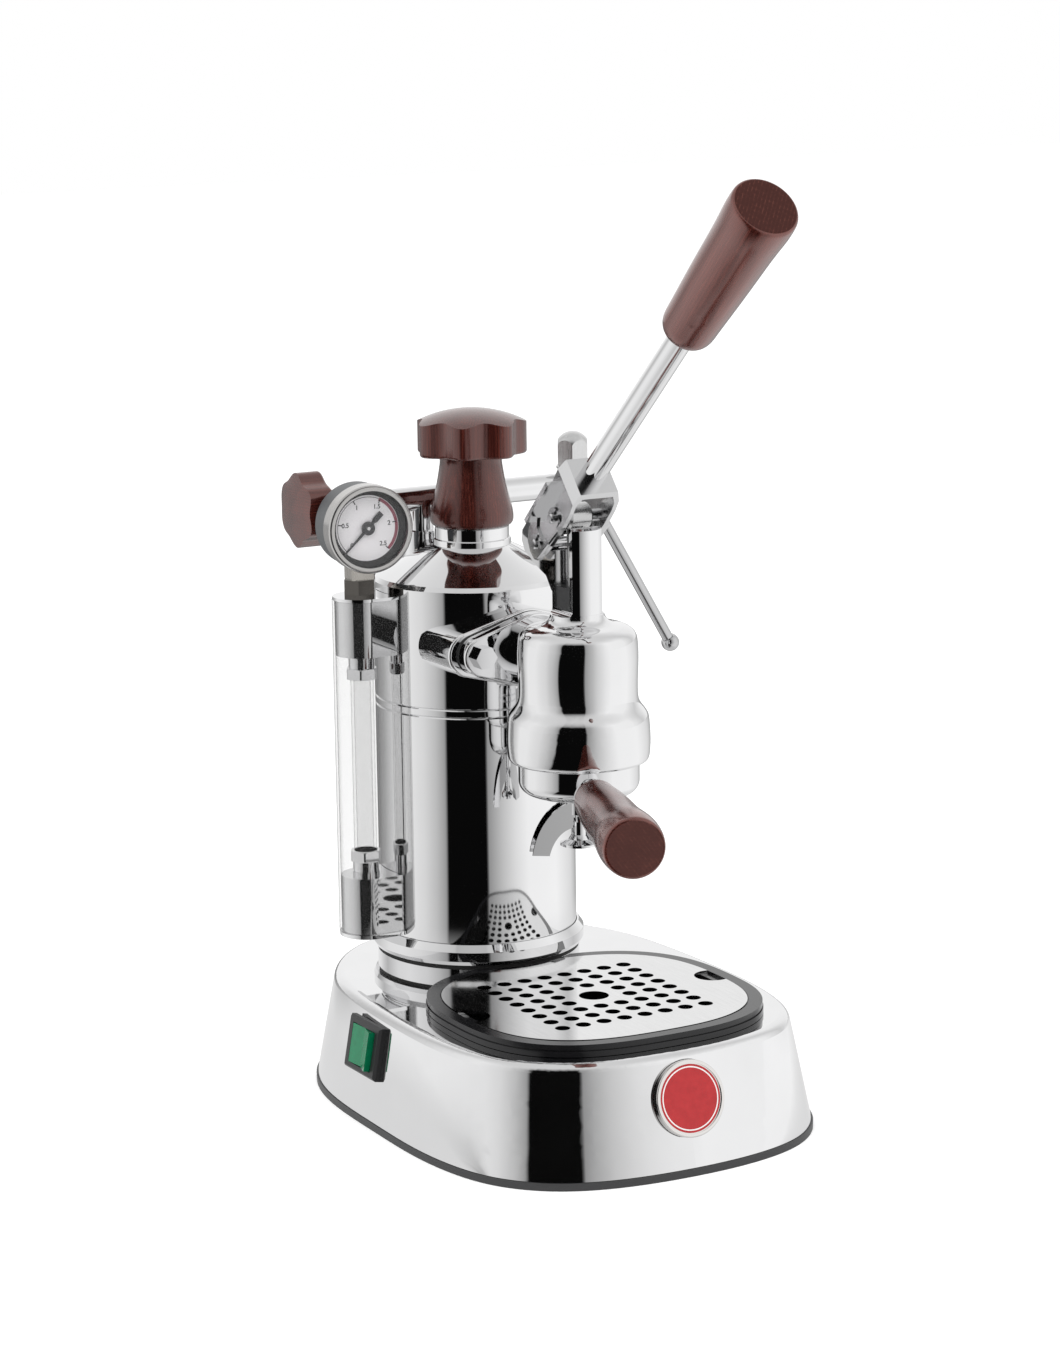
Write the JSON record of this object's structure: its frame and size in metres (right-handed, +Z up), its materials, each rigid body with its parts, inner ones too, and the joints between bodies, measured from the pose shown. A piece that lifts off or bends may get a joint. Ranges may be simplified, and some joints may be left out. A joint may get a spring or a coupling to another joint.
{
  "type": "lever espresso machine",
  "caption": "Countertop lever espresso machine: upright boiler, hand lever group with portafilter, steam wand, sight glass, pressure gauge and drip tray on an oval base.",
  "frame": {"origin": "where the upright axis of the boiler meets the plane of the underside", "axes": "+Z up, front toward -Y, +X to the right seen from the front"},
  "size_m": [0.2369, 0.3498, 0.4584],
  "materials": {
    "chrome": "polished",
    "steel": "satin",
    "brass": "satin",
    "dark_wood": "satin",
    "black_plastic": "matte",
    "black_rubber": "matte",
    "dark_enamel": "gloss",
    "clear_plastic": "clear",
    "green_plastic": "gloss",
    "badge_red": "gloss",
    "dial_white": "satin",
    "needle_black": "matte",
    "clear_glass": "clear"
  },
  "bodies": {
    "machine": {"base_shell": "chrome", "boiler_shell": "chrome", "boiler_ring": "chrome", "steam_valve_body": "chrome", "steam_joint": "chrome", "joint_nut": "chrome", "sight_block_upper": "chrome", "sight_block_lower": "chrome", "gland_nuts": "chrome", "gauge_nut": "chrome", "gauge_stem": "chrome", "gauge_bezel": "chrome", "group_body": "chrome", "group_bolts": "chrome", "bottom_cover": "black_plastic", "rod_guide": "black_plastic", "thermostat": "black_plastic", "power_inlet": "black_plastic", "switch_bezel": "black_plastic", "gauge_case": "black_plastic", "base_gasket": "black_rubber", "group_gasket": "black_rubber", "portafilter_gasket": "black_rubber", "sight_seals": "black_rubber", "base_screws": "steel", "heating_element": "steel", "group_sleeve": "steel", "shower_screen": "steel", "inlet_pins": "steel", "badge_disc": "badge_red", "sight_glass": "clear_glass", "gauge_glass": "clear_glass", "sight_cover": "clear_plastic", "gauge_dial": "dial_white"},
    "piston": {"piston": "brass", "piston_seals": "black_rubber", "piston_rod": "steel"},
    "lever": {"lever_fork": "chrome", "lever_rod": "chrome", "lever_handle": "dark_wood", "rod_pin": "steel", "fulcrum_pin": "steel", "lever_clips": "steel"},
    "steam_valve_knob": {"steam_knob": "dark_wood", "steam_spindle": "steel"},
    "wand": {"steam_wand": "chrome", "wand_tip": "chrome"},
    "portafilter": {"portafilter_ring": "chrome", "spout": "chrome", "portafilter_ferrule": "chrome", "filter_basket": "steel", "portafilter_handle": "dark_wood"},
    "cap": {"boiler_cap": "dark_wood", "cap_plug": "brass"},
    "tray": {"drip_tray": "dark_enamel"},
    "grid": {"drip_grid": "steel"},
    "rocker": {"switch_rocker": "green_plastic"},
    "needle": {"gauge_needle": "needle_black"}
  },
  "joints": [
    {"name": "piston_slide", "type": "slide", "parent": "machine", "child": "piston", "axis": [0, 0, 1], "range_m": [-0.021, 0.0081]},
    {"name": "lever_hinge", "type": "hinge", "parent": "piston", "child": "lever", "pos_m": [0, -0.1057, 0.2932], "axis": [-1, 0, 0], "range_deg": [-65, 25]},
    {"name": "steam_knob_turn", "type": "hinge", "parent": "machine", "child": "steam_valve_knob", "pos_m": [-0.06, 0.0285, 0.285], "axis": [-1, 0, 0], "range_deg": [0, 540]},
    {"name": "steam_wand_swivel", "type": "hinge", "parent": "machine", "child": "wand", "pos_m": [0.0735, 0.0285, 0.28], "axis": [0, 0, 1], "range_deg": [-80, 60]},
    {"name": "portafilter_turn", "type": "hinge", "parent": "machine", "child": "portafilter", "pos_m": [0, -0.1057, 0.17], "axis": [0, 0, 1], "range_deg": [-41, 18.9]},
    {"name": "boiler_cap_lift", "type": "slide", "parent": "machine", "child": "cap", "axis": [0, 0, 1], "range_m": [0, 0.03]},
    {"name": "drip_tray_lift", "type": "slide", "parent": "machine", "child": "tray", "axis": [0, 0, 1], "range_m": [0, 0.03]},
    {"name": "drip_grid_lift", "type": "slide", "parent": "tray", "child": "grid", "axis": [0, 0, 1], "range_m": [0, 0.02]},
    {"name": "switch_rock", "type": "hinge", "parent": "machine", "child": "rocker", "pos_m": [-0.0936, -0.062, 0.0365], "axis": [0.1788, 0.0019, 0.9839], "range_deg": [0, 12]},
    {"name": "gauge_needle_turn", "type": "hinge", "parent": "machine", "child": "needle", "pos_m": [-0.0623, 0, 0.2802], "axis": [0.1045, 0.9945, 0], "range_deg": [0, 270], "stiffness_Nm_per_rad": 0.002}
  ],
  "couplings": [
    {"joint": "piston_slide", "follows": "lever_hinge", "m_per_rad": 0.0185}
  ]
}
